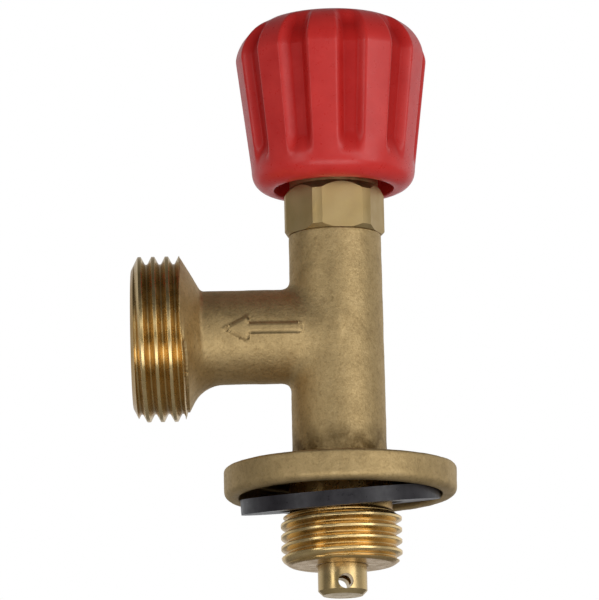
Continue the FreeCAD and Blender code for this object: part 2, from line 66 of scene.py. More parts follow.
FLANGE_THICK = 3.95
RECESS_RADIUS = 13.4
RECESS_DEEP = 2.8
NECK_RADIUS = 6.8
NECK_BOTTOM = -2.3
SPIGOT_RADIUS = 8.0
SPIGOT_PITCH = 1.5
SPIGOT_CREST = -7.5
BARREL_FOOT_RADIUS = 6.3
BARREL_TOP_RADIUS = 6.17
BRANCH_HEIGHT = 21.8
BRANCH_ROOT_RADIUS = 5.8
BRANCH_ROOT_LONG = 7.0
BRANCH_RADIUS = 6.28
# 0.1 more than the CAD's thread, so that its rounded crests read at their full size
OUTLET_RADIUS = 11.0
OUTLET_LENGTH = 6.45
CONE_LENGTH = 2.75
OUTLET_PITCH = 1.814
OUTLET_CREST = 1.06
OUTLET_BORE_RADIUS = 6.0
OUTLET_BORE_DEEP = 7.2
PASSAGE_RADIUS = 2.5
PIN_RADIUS = 3.25
WHEEL_MOUTH_RADIUS = 8.02
SCREW_WELL_RADIUS = 4.2
SCREW_WELL_BOTTOM = 57.0
INSERT_RADIUS = 4.5
HUB_RADIUS = 6.3
HUB_BOTTOM = 46.8
WHEEL_CEILING = 61.0


# ---------------------------------------------------------------- mesh helpers

def mesh_piece(name, points, faces, body):
    """A mesh object from points in millimetres, riding on a body."""
    mesh = bpy.data.meshes.new(name)
    mesh.from_pydata((np.asarray(points) * MM).tolist(), [], faces)
    mesh.validate()
    mesh.update()
    piece = bpy.data.objects.new(name, mesh)
    bpy.context.scene.collection.objects.link(piece)
    mesh.polygons.foreach_set("use_smooth", [True] * len(mesh.polygons))
    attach(piece, body)
    return piece


# the most of a side that the arc at one of its ends may take
ARC_SHARE = 0.93


def rounded_outline(corners, step=0.15):
    """A closed outline through (a, b, radius) corners, each turned by an arc of its radius."""
    path = []
    count = len(corners)
    for index, (a, b, radius) in enumerate(corners):
        here = np.array([a, b], float)
        before = np.array(corners[index - 1][:2], float) - here
        after = np.array(corners[(index + 1) % count][:2], float) - here
        before_long, after_long = np.linalg.norm(before), np.linalg.norm(after)
        before, after = before / before_long, after / after_long
        half = math.acos(max(-1.0, min(1.0, float(before @ after)))) / 2
        if radius <= 0 or half > math.pi / 2 - 1e-3:
            path.append(here)
            continue
        reach = min(radius / math.tan(half), before_long * ARC_SHARE, after_long * ARC_SHARE)
        radius = reach * math.tan(half)
        middle = here + (before + after) / np.linalg.norm(before + after) * radius / math.sin(half)
        start, stop = here + before * reach - middle, here + after * reach - middle
        sweep = math.pi - 2 * half
        turn = math.copysign(sweep, start[0] * stop[1] - start[1] * stop[0])
        pieces = max(3, int(abs(sweep) * radius / step))
        for number in range(pieces + 1):
            angle = turn * number / pieces
            cosine, sine = math.cos(angle), math.sin(angle)
            path.append(middle + np.array([
                start[0] * cosine - start[1] * sine,
                start[0] * sine + start[1] * cosine]))
    return np.array(path)


def resampled(path, step, closed=True):
    """The same path with extra points, so that no stretch is longer than the step."""
    out = []
    count = len(path)
    for index in range(count if closed else count - 1):
        here, after = path[index], path[(index + 1) % count]
        pieces = max(1, int(math.ceil(np.linalg.norm(after - here) / step)))
        for number in range(pieces):
            out.append(here + (after - here) * number / pieces)
    if not closed:
        out.append(path[-1])
    return np.array(out)


def grid_faces(rows, columns, closed_rows):
    """Quads of a grid that closes round its columns, and over its rows too where asked."""
    faces = []
    for row in range(rows if closed_rows else rows - 1):
        after = (row + 1) % rows
        for column in range(columns):
            beside = (column + 1) % columns
            faces.append((row * columns + column, row * columns + beside,
                          after * columns + beside, after * columns + column))
    return faces


def revolve_points(radius, along, columns, about="Z", height=0.0):
    """Points of a grid of radii, row by column, round Z or round the branch's axis."""
    angle = np.arange(columns) / columns * 2 * math.pi
    radius = np.broadcast_to(radius, (len(along), columns))
    along = np.broadcast_to(np.asarray(along)[:, None], radius.shape)
    across, beside = radius * np.cos(angle), radius * np.sin(angle)
    if about == "Z":
        grid = np.stack([across, beside, along + height], axis=-1)
    else:
        grid = np.stack([along, beside, across + height], axis=-1)
    return grid.reshape(-1, 3)


def capped(points, faces, rows, columns, first, last):
    """Close both ends of a grid with a fan to a point on the axis."""
    points = np.vstack([points, [first, last]])
    start, end = len(points) - 2, len(points) - 1
    for column in range(columns):
        beside = (column + 1) % columns
        faces.append((start, beside, column))
        faces.append((end, (rows - 1) * columns + column, (rows - 1) * columns + beside))
    return points, faces


def faced_outwards(piece):
    mesh = bmesh.new()
    mesh.from_mesh(piece.data)
    bmesh.ops.recalc_face_normals(mesh, faces=mesh.faces)
    mesh.to_mesh(piece.data)
    mesh.free()


def thread_depth(along, angle, pitch, crest, half_angle, rounding, left_handed):
    """How deep a thread is cut at each place: straight flanks between crests and roots of one rounding."""
    turn = angle / (2 * math.pi) * (-1 if left_handed else 1)
    phase = (along - crest) / pitch - turn
    off_crest = np.abs(phase - np.round(phase)) * pitch
    off_root = pitch / 2 - off_crest
    lean = math.radians(half_angle)
    reach = rounding * math.cos(lean)
    drop = rounding * (1 - math.sin(lean))
    whole = 2 * drop + (pitch / 2 - 2 * reach) / math.tan(lean)
    crest_arc = rounding - np.sqrt(np.maximum(rounding ** 2 - off_crest ** 2, 0))
    root_arc = whole - rounding + np.sqrt(np.maximum(rounding ** 2 - off_root ** 2, 0))
    flank = drop + (off_crest - reach) / math.tan(lean)
    cut = np.where(off_crest < reach, crest_arc, np.where(off_root < reach, root_arc, flank))
    return np.maximum(cut - CREST_TRUNCATION, 0)


def soft_min(first, second, blend):
    """The smaller of two fields, with the crease between them rounded over the blend width."""
    share = np.clip(0.5 + 0.5 * (second - first) / blend, 0, 1)
    return second + (first - second) * share - blend * share * (1 - share)


def smoothstep(low_edge, high_edge, value):
    share = np.clip((value - low_edge) / (high_edge - low_edge), 0, 1)
    return share * share * (3 - 2 * share)


def outline_distance(a, b, outline):
    """Signed distance from points to a closed outline, negative inside."""
    nearest = np.full(a.shape, np.inf)
    inside = np.zeros(a.shape, bool)
    for index in range(len(outline)):
        ax, ay = outline[index - 1]
        bx, by = outline[index]
        ex, ey = bx - ax, by - ay
        wx, wy = a - ax, b - ay
        share = np.clip((wx * ex + wy * ey) / max(ex * ex + ey * ey, 1e-12), 0, 1)
        nearest = np.minimum(nearest, (wx - ex * share) ** 2 + (wy - ey * share) ** 2)
        if ay != by:
            crosses = ((ay > b) != (by > b)) & (a < ex * (b - ay) / ey + ax)
            inside ^= crosses
    return np.where(inside, -1, 1) * np.sqrt(nearest)


# ---------------------------------------------------------------- the forging

BARREL = rounded_outline([
    (0, 1.0, 0),
    (BARREL_FOOT_RADIUS, 1.0, 0),
    (BARREL_TOP_RADIUS, BARREL_TOP, 0.15),
    (0, BARREL_TOP, 0),
])
FLANGE = rounded_outline([
    (0, RECESS_DEEP, 0),
    (RECESS_RADIUS, RECESS_DEEP, 0),
    (RECESS_RADIUS, 0, 0.25),
    (FLANGE_RADIUS, 0, 1.0),
    (FLANGE_RADIUS, FLANGE_THICK, 0.4),
    (0, FLANGE_THICK, 0),
])
CONE_BACK = OUTLET_FACE + OUTLET_LENGTH
CONE_BACK_LAG = 0.45


# radius of the cone's throat, and of the outer corner at its back
THROAT_ABOVE = 0.8
THROAT_BELOW = 4.5
CONE_CORNER = 0.06


def branch_outline(throat, back):
    """The branch's half section, from the cone's back face, with the given radius in the cone's throat."""
    return rounded_outline([
        (back, 0, 0),
        (back, OUTLET_RADIUS, CONE_CORNER),
        (CONE_BACK + CONE_LENGTH, BRANCH_RADIUS, throat),
        (-BRANCH_ROOT_LONG, BRANCH_RADIUS, 0),
        (0, BRANCH_ROOT_RADIUS, 0),
        (0, 0, 0),
    ])


BRANCH_ABOVE = branch_outline(THROAT_ABOVE, CONE_BACK)
BRANCH_BELOW = branch_outline(THROAT_BELOW, CONE_BACK + CONE_BACK_LAG)

ARROW_TIP = -15.2
ARROW_TAIL = -4.6
ARROW_HEAD_LONG = 3.6
ARROW_HALF_HEAD = 1.9
ARROW_HALF_SHAFT = 0.75
ARROW_PROUD = 0.32
ARROW_INNER_SIDE = -3
ARROW = np.array([
    (ARROW_TIP, 0),
    (ARROW_TIP + ARROW_HEAD_LONG, -ARROW_HALF_HEAD),
    (ARROW_TIP + ARROW_HEAD_LONG, -ARROW_HALF_SHAFT),
    (ARROW_TAIL, -ARROW_HALF_SHAFT),
    (ARROW_TAIL, ARROW_HALF_SHAFT),
    (ARROW_TIP + ARROW_HEAD_LONG, ARROW_HALF_SHAFT),
    (ARROW_TIP + ARROW_HEAD_LONG, ARROW_HALF_HEAD),
])
BRANCH_FILLET = 1.5
FLANGE_FILLET = 0.9
ARROW_FILLET = 0.22


def forging_distance(points):
    """Signed distance to the forging's skin, its parts run together with soft fillets."""
    x, y, z = points.T
    about_spindle = np.hypot(x, y)
    about_branch = np.hypot(y, z - BRANCH_HEIGHT)
    barrel = outline_distance(about_spindle, z, BARREL)
    flange = outline_distance(about_spindle, z, FLANGE)
    above = outline_distance(x, about_branch, BRANCH_ABOVE)
    below = outline_distance(x, about_branch, BRANCH_BELOW)
    under = smoothstep(-0.3, 0.9, (BRANCH_HEIGHT - z) / BRANCH_RADIUS)
    branch = above + (below - above) * under
    skin = soft_min(barrel, branch, BRANCH_FILLET)
    skin = soft_min(skin, flange, FLANGE_FILLET)
    arrow = outline_distance(x, z - BRANCH_HEIGHT, ARROW)
    arrow = np.maximum(np.maximum(arrow, skin - ARROW_PROUD), y - ARROW_INNER_SIDE)
    return soft_min(skin, arrow, ARROW_FILLET)


def lathe_mesh(outline, about, height=0.0, columns=96):
    """A rough closed body of revolution, as points and faces."""
    if about == "Z":
        radius, along = outline[:, 0], outline[:, 1]
    else:
        along, radius = outline[:, 0], outline[:, 1]
    keep = radius > 1e-6
    ends = np.where(~keep)[0]
    order = np.roll(np.arange(len(outline)), -int(ends[0]) - 1)
    order = [index for index in order if keep[index]]
    radius, along = radius[order], along[order]
    points = revolve_points(radius[:, None], along, columns, about, height)
    faces = grid_faces(len(along), columns, False)
    if about == "Z":
        tips = [(0, 0, along[0] + height), (0, 0, along[-1] + height)]
    else:
        tips = [(along[0], 0, height), (along[-1], 0, height)]
    return capped(points, faces, len(along), columns, *tips)


FORGING_VOXEL = 0.17
FORGING_WAVE = 0.035
FORGING_WAVE_BIAS = 0.6
SKIN_STEPS = 4
SKIN_STEP_SHARE = 0.9


def make_forging():
    """A remeshed union of the three turned shapes, drawn onto the soft skin and made a little uneven."""
    points, faces = np.zeros((0, 3)), []
    for outline, about, height in ((BARREL, "Z", 0), (FLANGE, "Z", 0), (BRANCH_ABOVE, "X", BRANCH_HEIGHT)):
        more, more_faces = lathe_mesh(outline, about, height)
        faces += [tuple(index + len(points) for index in face) for face in more_faces]
        points = np.vstack([points, more])
    piece = mesh_piece("forging", points, faces, "valve")
    faced_outwards(piece)
    remesh = piece.modifiers.new("Remesh", "REMESH")
    remesh.mode = "VOXEL"
    remesh.voxel_size = FORGING_VOXEL * MM
    bpy.context.view_layer.update()
    evaluated = piece.evaluated_get(bpy.context.evaluated_depsgraph_get())
    final = bpy.data.meshes.new_from_object(evaluated)
    piece.modifiers.clear()
    piece.data = final
    flat = np.empty(len(final.vertices) * 3)
    final.vertices.foreach_get("co", flat)
    skin = flat.reshape(-1, 3) / MM
    nudge = 0.01
    for _ in range(SKIN_STEPS):
        distance = forging_distance(skin)
        rises = [forging_distance(skin + np.eye(3)[axis] * nudge) - distance for axis in range(3)]
        slope = np.stack(rises, axis=-1) / nudge
        length = np.maximum(np.linalg.norm(slope, axis=1, keepdims=True), 0.3)
        skin = skin - slope / length ** 2 * distance[:, None] * SKIN_STEP_SHARE
    wave = np.array([
        noise.noise(Vector(point) * 0.45) + 0.5 * noise.noise(Vector(point) * 1.3 + Vector((7, 3, 1)))
        for point in skin])
    machined = (skin[:, 2] < 2.2) & (np.hypot(skin[:, 0], skin[:, 1]) < RECESS_RADIUS + 0.4)
    wave[machined] = -1
    skin = skin + slope / length * ((wave - FORGING_WAVE_BIAS) * FORGING_WAVE)[:, None]
    final.vertices.foreach_set("co", (skin * MM).ravel())
    final.polygons.foreach_set("use_smooth", [True] * len(final.polygons))
    final.update()
    return piece


# ---------------------------------------------------------------- the two threaded ends

THREAD_ROWS_STEP = 0.06
THREAD_COLUMNS = 256
WHITWORTH_ROUNDING = 0.249
METRIC_ROUNDING = 0.19
CREST_TRUNCATION = 0.12
WHITWORTH_HALF_ANGLE = 27.5
METRIC_HALF_ANGLE = 30.0
OUTLET_CHAMFER_RADIAL = 1.8
OUTLET_CHAMFER_AXIAL = 0.9
# how steeply the outlet's thread falls away behind the cone's back face
THREAD_END_SLOPE = 4


def make_outlet():
    """The outlet's left-hand thread, flat mouth and bore, in one closed body round the branch's axis."""
    bore_end = OUTLET_FACE + OUTLET_BORE_DEEP
    outline = rounded_outline([
        (bore_end + 9, 0, 0),
        (bore_end + 9, PASSAGE_RADIUS, 0),
        (bore_end + 1.5, PASSAGE_RADIUS, 0.1),
        (bore_end, OUTLET_BORE_RADIUS, 0.2),
        (OUTLET_FACE, OUTLET_BORE_RADIUS, 0.35),
        (OUTLET_FACE, OUTLET_RADIUS - OUTLET_CHAMFER_RADIAL, 0.2),
        (OUTLET_FACE + OUTLET_CHAMFER_AXIAL, OUTLET_RADIUS, 0.2),
        (CONE_BACK + 0.9, OUTLET_RADIUS, 0),
        (CONE_BACK + 1.0, OUTLET_RADIUS - 2.2, 0),
        (CONE_BACK + 1.0, PASSAGE_RADIUS + 1.5, 0),
    ], step=0.05)
    outline = resampled(outline[1:], THREAD_ROWS_STEP * 2, closed=False)
    threaded = outline[:, 1] > OUTLET_RADIUS - 2.0
    fine = []
    for index in range(len(outline) - 1):
        here, after = outline[index], outline[index + 1]
        pieces = 2 if threaded[index] and threaded[index + 1] else 1
        fine += [here + (after - here) * number / pieces for number in range(pieces)]
    outline = np.array(fine + [outline[-1]])
    along, envelope = outline[:, 0], outline[:, 1]
    angle = np.arange(THREAD_COLUMNS) / THREAD_COLUMNS * 2 * math.pi
    cut = thread_depth(along[:, None], angle[None, :], OUTLET_PITCH, OUTLET_FACE + OUTLET_CREST,
                       WHITWORTH_HALF_ANGLE, WHITWORTH_ROUNDING, True)
    back = CONE_BACK + CONE_BACK_LAG * smoothstep(-0.2, 0.5, -np.cos(angle))[None, :]
    cut = np.maximum(cut, (along[:, None] - back) * THREAD_END_SLOPE)
    outside = (envelope > OUTLET_RADIUS - 2.3)[:, None] & (along > OUTLET_FACE + 0.001)[:, None]
    radius = np.where(outside, np.minimum(envelope[:, None], OUTLET_RADIUS - cut), envelope[:, None])
    rows = len(along)
    points = revolve_points(radius, along, THREAD_COLUMNS, "X", BRANCH_HEIGHT)
    faces = grid_faces(rows, THREAD_COLUMNS, False)
    points, faces = capped(points, faces, rows, THREAD_COLUMNS,
                           (along[0], 0, BRANCH_HEIGHT), (along[-1], 0, BRANCH_HEIGHT))
    piece = mesh_piece("outlet_thread", points, faces, "valve")
    faced_outwards(piece)
    return piece


def make_spigot():
    """The spigot that screws into the cylinder, with its right-hand thread and undercut neck."""
    outline = rounded_outline([
        (0, RECESS_DEEP + 0.4, 0),
        (NECK_RADIUS, RECESS_DEEP + 0.4, 0),
        (NECK_RADIUS, NECK_BOTTOM + 0.2, 0.3),
        (SPIGOT_RADIUS, NECK_BOTTOM - 0.5, 0.1),
        (SPIGOT_RADIUS, SPIGOT_BOTTOM + 0.8, 1.0),
        (SPIGOT_RADIUS - 1.1, SPIGOT_BOTTOM, 1.0),
        (PIN_RADIUS + 0.3, SPIGOT_BOTTOM, 0.12),
        (PIN_RADIUS - 0.02, SPIGOT_BOTTOM + 0.3, 0),
        (0, SPIGOT_BOTTOM + 0.3, 0),
    ], step=0.05)
    outline = resampled(outline[1:-1], THREAD_ROWS_STEP, closed=False)
    envelope, along = outline[:, 0], outline[:, 1]
    angle = np.arange(THREAD_COLUMNS) / THREAD_COLUMNS * 2 * math.pi
    cut = thread_depth(along[:, None], angle[None, :], SPIGOT_PITCH, SPIGOT_CREST,
                       METRIC_HALF_ANGLE, METRIC_ROUNDING, False)
    outside = (along > SPIGOT_BOTTOM + 0.001)[:, None] & (envelope > NECK_RADIUS - 0.2)[:, None]
    radius = np.where(outside, np.minimum(envelope[:, None], SPIGOT_RADIUS - cut), envelope[:, None])
    rows = len(along)
    points = revolve_points(radius, along, THREAD_COLUMNS)
    faces = grid_faces(rows, THREAD_COLUMNS, False)
    points, faces = capped(points, faces, rows, THREAD_COLUMNS, (0, 0, along[0]), (0, 0, along[-1]))
    piece = mesh_piece("spigot_thread", points, faces, "valve")
    faced_outwards(piece)
    return piece


# ---------------------------------------------------------------- the handwheel

FLUTES = 10
FLUTE_DEEP = 1.15
FLUTE_BOTTOM = 43.9
FLUTE_RUN_OUT = 3.6
FLUTE_TURN = math.radians(-5.5)
FLUTE_HALF_FLOOR = math.radians(3.6)
FLUTE_HALF_MOUTH = math.radians(10.2)
FLUTE_CROWN_START = 8.6
FLUTE_CROWN_FULL = 11.6
LOBE_FLATNESS = 0.8
WHEEL_FOOT_RADIUS = 10.62
WHEEL_FOOT_ROUND = 2.4
DOME_START = 59.2
DOME_RADIUS = 12.8
DOME_WIDTH_POWER = 0.92
DOME_POWER = 1.2
DOME_TOP = WHEEL_TOP - 0.2
CROWN_RADIUS = 6.5
WHEEL_COLUMNS = 720
OUTLINE_SOFTENINGS = 3


def make_handwheel():
    """The moulded wheel: a turned section whose outer side is drawn in by ten finger flutes."""
    side = resampled(rounded_outline([
        (WHEEL_MOUTH_RADIUS, WHEEL_BOTTOM, 0.12),
        (WHEEL_FOOT_RADIUS, WHEEL_BOTTOM, WHEEL_FOOT_ROUND),
        (DOME_RADIUS, DOME_START, 0),
        (0, DOME_START, 0)])[:-1], 0.25, closed=False)
    sweep = np.linspace(0, math.pi / 2, 48)[1:]
    dome = np.stack([CROWN_RADIUS + (DOME_RADIUS - CROWN_RADIUS) * np.cos(sweep) ** DOME_WIDTH_POWER,
                     DOME_START + (DOME_TOP - DOME_START) * np.sin(sweep) ** DOME_POWER], axis=-1)
    inner = rounded_outline([
        (SCREW_WELL_RADIUS, DOME_TOP, 0.4),
        (SCREW_WELL_RADIUS, SCREW_WELL_BOTTOM, 0),
        (INSERT_RADIUS, SCREW_WELL_BOTTOM, 0),
        (INSERT_RADIUS, HUB_BOTTOM, 0.2),
        (HUB_RADIUS, HUB_BOTTOM, 0.4),
        (HUB_RADIUS, WHEEL_CEILING, 0.6),
        (8.4, WHEEL_CEILING, 0.8),
        (9.7, 58.0, 1.0),
        (WHEEL_MOUTH_RADIUS, WHEEL_BOTTOM, 0)])[:-1]
    outline = resampled(np.vstack([side, dome, inner]), 0.3)
    for _ in range(OUTLINE_SOFTENINGS):
        outline = (np.roll(outline, -1, axis=0) + 2 * outline + np.roll(outline, 1, axis=0)) / 4
    tangent = np.roll(outline, -1, axis=0) - np.roll(outline, 1, axis=0)
    tangent /= np.maximum(np.linalg.norm(tangent, axis=1, keepdims=True), 1e-9)
    normal = np.stack([tangent[:, 1], -tangent[:, 0]], axis=-1)
    radius, height = outline[:, 0], outline[:, 1]
    outer = (radius > FLUTE_CROWN_START) & ((height > 61.2) | (radius > 10.15 + (height - 50) * 0.1))
    depth = smoothstep(FLUTE_BOTTOM, FLUTE_BOTTOM + FLUTE_RUN_OUT, height) * outer
    depth *= smoothstep(FLUTE_CROWN_START, FLUTE_CROWN_FULL, radius)
    angle = np.arange(WHEEL_COLUMNS) / WHEEL_COLUMNS * 2 * math.pi
    spacing = 2 * math.pi / FLUTES
    off_flute = np.abs((angle - FLUTE_TURN + spacing / 2) % spacing - spacing / 2)
    valley = 1 - smoothstep(FLUTE_HALF_FLOOR, FLUTE_HALF_MOUTH, off_flute)
    half_lobe = spacing / 2 - FLUTE_HALF_MOUTH
    off_lobe = np.minimum(spacing / 2 - off_flute, half_lobe)
    chord = (1 - math.cos(half_lobe) / np.cos(off_lobe)) * (1 - valley) * LOBE_FLATNESS
    inset = depth[:, None] * (valley[None, :] * FLUTE_DEEP + chord[None, :] * radius[:, None])
    grid_radius = radius[:, None] - normal[:, 0][:, None] * inset
    grid_height = height[:, None] - normal[:, 1][:, None] * inset
    points = np.stack([grid_radius * np.cos(angle), grid_radius * np.sin(angle), grid_height], axis=-1)
    piece = mesh_piece("handwheel_moulding", points.reshape(-1, 3),
                       grid_faces(len(outline), WHEEL_COLUMNS, True), "spindle")
    faced_outwards(piece)
    # how deep each flute valley is, kept for the painted shade that darkens the valleys in the red plastic
    flute_shade = piece.data.attributes.new("flute_shade", "FLOAT", "POINT")
    flute_shade.data.foreach_set("value", (depth[:, None] * valley[None, :]).astype(np.float32).ravel())
    return piece


# ---------------------------------------------------------------- materials

class Shader:
    """A Principled material and the node helpers that build on it."""

    def __init__(self, name, **values):
        self.material = bpy.data.materials.new(name)
        self.material.use_nodes = True
        self.tree = self.material.node_tree
        self.principled = self.tree.nodes["Principled BSDF"]
        self.place = self.tree.nodes.new("ShaderNodeTexCoord").outputs["Object"]
        for socket, value in values.items():
            self.principled.inputs[socket.replace("_", " ")].default_value = value

    def link(self, source, target):
        self.tree.links.new(source, target)

    def noise(self, size_mm, detail=3.0, roughness=0.55, stretch=(1, 1, 1)):
        mapping = self.tree.nodes.new("ShaderNodeMapping")
        mapping.inputs["Scale"].default_value = stretch
        self.link(self.place, mapping.inputs["Vector"])
        texture = self.tree.nodes.new("ShaderNodeTexNoise")
        texture.inputs["Scale"].default_value = 1 / (size_mm * MM)
        texture.inputs["Detail"].default_value = detail
        texture.inputs["Roughness"].default_value = roughness
        self.link(mapping.outputs["Vector"], texture.inputs["Vector"])
        return texture.outputs["Fac"]

    def along(self, axis):
        """How far a place is along an axis, in millimetres."""
        apart = self.tree.nodes.new("ShaderNodeSeparateXYZ")
        self.link(self.place, apart.inputs["Vector"])
        return self.math("DIVIDE", apart.outputs[axis], MM)

    def tinted(self, colour, share, tint):
        """The colour multiplied by a tint, by as much as the share says."""
        node = self.tree.nodes.new("ShaderNodeMix")
        node.data_type = "RGBA"
        node.blend_type = "MULTIPLY"
        self.link(share, node.inputs["Factor"])
        self.link(colour, node.inputs[6])
        node.inputs[7].default_value = (*tint, 1)
        return node.outputs[2]

    def off_axis(self, axis, height=0.0):
        """How far a place is from the spindle's axis or the branch's, in millimetres."""
        mapping = self.tree.nodes.new("ShaderNodeMapping")
        mapping.inputs["Location"].default_value = (0, 0, -height * MM if axis == "X" else 0)
        mapping.inputs["Scale"].default_value = (0, 1, 1) if axis == "X" else (1, 1, 0)
        self.link(self.place, mapping.inputs["Vector"])
        length = self.tree.nodes.new("ShaderNodeVectorMath")
        length.operation = "LENGTH"
        self.link(mapping.outputs["Vector"], length.inputs[0])
        return self.math("DIVIDE", length.outputs["Value"], MM)

    def ramp(self, source, stops):
        node = self.tree.nodes.new("ShaderNodeValToRGB")
        elements = node.color_ramp.elements
        while len(elements) < len(stops):
            elements.new(0.5)
        for element, (place, colour) in zip(elements, stops):
            element.position = place
            element.color = (*colour, 1) if len(colour) == 3 else colour
        self.link(source, node.inputs["Fac"])
        return node.outputs["Color"]

    def span(self, source, low_value, high_value, low_in=0.0, high_in=1.0):
        node = self.tree.nodes.new("ShaderNodeMapRange")
        node.inputs["From Min"].default_value = low_in
        node.inputs["From Max"].default_value = high_in
        node.inputs["To Min"].default_value = low_value
        node.inputs["To Max"].default_value = high_value
        self.link(source, node.inputs["Value"])
        return node.outputs["Result"]

    def math(self, operation, first, second):
        node = self.tree.nodes.new("ShaderNodeMath")
        node.operation = operation
        for socket, value in zip(node.inputs, (first, second)):
            if isinstance(value, (int, float)):
                socket.default_value = value
            else:
                self.link(value, socket)
        return node.outputs["Value"]

    def bump(self, source, depth_mm, strength=1.0, under=None):
        node = self.tree.nodes.new("ShaderNodeBump")
        node.inputs["Strength"].default_value = strength
        node.inputs["Distance"].default_value = depth_mm * MM
        self.link(source, node.inputs["Height"])
        if under is not None:
            self.link(under, node.inputs["Normal"])
        return node.outputs["Normal"]

    def set(self, socket, source):
        self.link(source, self.principled.inputs[socket])


def forged_brass():
    """Brass from the shot-blasted die: grainy, satin, uneven in tone, and darkened just above the flange by
    a painted shadow of the flange.
    """
    shader = Shader("forged_brass", Metallic=1.0)
    tone = shader.noise(2.2, 4.0, 0.6)
    colour = shader.ramp(tone, [
        (0.30, (0.53, 0.382, 0.183)), (0.52, (0.62, 0.453, 0.22)), (0.75, (0.68, 0.505, 0.255))])
    # painted shadow: a patchy, darker and browner band on the barrel from the flange's top up to below the
    # branch, where the flange shades it
    height = shader.along("Z")
    above_flange = shader.span(height, 0, 1, 3.9, 4.6)
    below_branch = shader.span(height, 1, 0, 6.0, 9.5)
    flange_shadow_band = shader.math("MULTIPLY", above_flange, below_branch)
    patches = shader.span(shader.noise(2.6, 5.0, 0.65), 0.25, 1.0, 0.38, 0.58)
    colour = shader.tinted(colour, shader.math("MULTIPLY", flange_shadow_band, patches), (0.30, 0.26, 0.20))
    specks = shader.span(shader.noise(0.45, 5.0, 0.75), 0, 0.5, 0.50, 0.68)
    shader.set("Base Color", shader.tinted(colour, specks, (0.55, 0.48, 0.38)))
    grain = shader.noise(0.30, 4.0, 0.65)
    shader.set("Roughness", shader.span(grain, 0.46, 0.66, 0.3, 0.7))
    coarse = shader.bump(shader.noise(1.0, 3.0), 0.035)
    shader.set("Normal", shader.bump(grain, 0.055, 1.0, coarse))
    return shader.material


def machined_brass(name, lines_along, tint=1.0, roughness=0.22, thread=None):
    """Bright turned brass with tool lines round its axis, and the roots of any thread darkened, partly as
    painted shade and partly as grime.
    """
    shader = Shader(name, Metallic=1.0)
    tone = shader.noise(3.0, 3.0)
    darker = (0.66 * tint, 0.47 * tint, 0.20 * tint)
    lighter = (0.74 * tint, 0.55 * tint, 0.27 * tint)
    colour = shader.ramp(tone, [(0.3, darker), (0.7, lighter)])
    if thread is not None:
        root, crest, height = thread
        # painted shade with some grime: the colour darkens from the crest radius in to the root radius
        root_shade_and_grime = shader.span(shader.off_axis(lines_along, height), 1, 0, root, crest)
        colour = shader.tinted(colour, root_shade_and_grime, (0.70, 0.62, 0.50))
    shader.set("Base Color", colour)
    stretch = {"Z": (0.04, 0.04, 1), "X": (1, 0.04, 0.04)}[lines_along]
    lines = shader.noise(0.12, 2.0, 0.5, stretch)
    smear = shader.noise(1.5, 3.0)
    shader.set("Roughness", shader.span(smear, roughness, roughness + 0.14, 0.35, 0.7))
    shader.set("Normal", shader.bump(lines, 0.004))
    return shader.material


def red_plastic():
    """Moulded red plastic with a soft gloss and faint handling marks in its roughness, its flute valleys
    darkened and dulled by painted shade.
    """
    shader = Shader("red_plastic", IOR=1.5, Subsurface_Weight=0.06, Subsurface_Scale=0.0008)
    shader.principled.inputs["Subsurface Radius"].default_value = (1.0, 0.25, 0.15)
    tone = shader.noise(3.5, 4.0)
    colour = shader.ramp(tone, [(0.3, (0.74, 0.030, 0.026)), (0.7, (0.84, 0.045, 0.038))])
    flute_shade = shader.tree.nodes.new("ShaderNodeAttribute")
    flute_shade.attribute_name = "flute_shade"
    # painted shade: the flute valleys are tinted darker and their sheen is dimmed
    shader.set("Base Color", shader.tinted(colour, flute_shade.outputs["Fac"], (0.72, 0.5, 0.5)))
    shader.set("Specular IOR Level", shader.span(flute_shade.outputs["Fac"], 0.5, 0.12))
    marks = shader.noise(0.8, 5.0, 0.7)
    shader.set("Roughness", shader.span(marks, 0.24, 0.40, 0.3, 0.7))
    shader.set("Normal", shader.bump(shader.noise(0.4, 2.0), 0.002))
    return shader.material


def black_rubber():
    shader = Shader("black_rubber", IOR=1.5)
    tone = shader.noise(1.8, 4.0)
    shader.set("Base Color", shader.ramp(tone, [(0.3, (0.012, 0.010, 0.013)), (0.7, (0.03, 0.027, 0.032))]))
    shader.set("Roughness", shader.span(shader.noise(0.7, 4.0), 0.26, 0.46, 0.3, 0.7))
    shader.set("Normal", shader.bump(shader.noise(0.3, 3.0), 0.006))
    return shader.material


def seat_rubber():
    shader = Shader("seat_rubber", IOR=1.5)
    shader.set("Base Color", shader.ramp(shader.noise(0.8), [
        (0.3, (0.01, 0.01, 0.01)), (0.7, (0.022, 0.022, 0.022))]))
    shader.set("Roughness", shader.span(shader.noise(0.4), 0.35, 0.55))
    return shader.material


def white_nylon():
    shader = Shader("white_nylon", IOR=1.53)
    shader.set("Base Color", shader.ramp(shader.noise(1.0), [
        (0.3, (0.74, 0.73, 0.66)), (0.7, (0.82, 0.81, 0.76))]))
    shader.set("Roughness", shader.span(shader.noise(0.4), 0.35, 0.5))
    return shader.material


def plated_steel():
    shader = Shader("plated_steel", Metallic=1.0)
    shader.set("Base Color", shader.ramp(shader.noise(1.2), [
        (0.3, (0.60, 0.60, 0.58)), (0.7, (0.72, 0.71, 0.67))]))
    shader.set("Roughness", shader.span(shader.noise(0.5, 4.0), 0.22, 0.42))
    shader.set("Normal", shader.bump(shader.noise(0.15), 0.003))
    return shader.material


def dress(piece, material):
    piece.data.materials.clear()
    piece.data.materials.append(material)


# ---------------------------------------------------------------- assembly

FORGED = forged_brass()
TURNED_UPRIGHT = machined_brass("turned_brass_upright", "Z")
OUTLET_BRASS = machined_brass("outlet_brass", "X", 1.08, thread=(9.8, 10.7, BRANCH_HEIGHT))
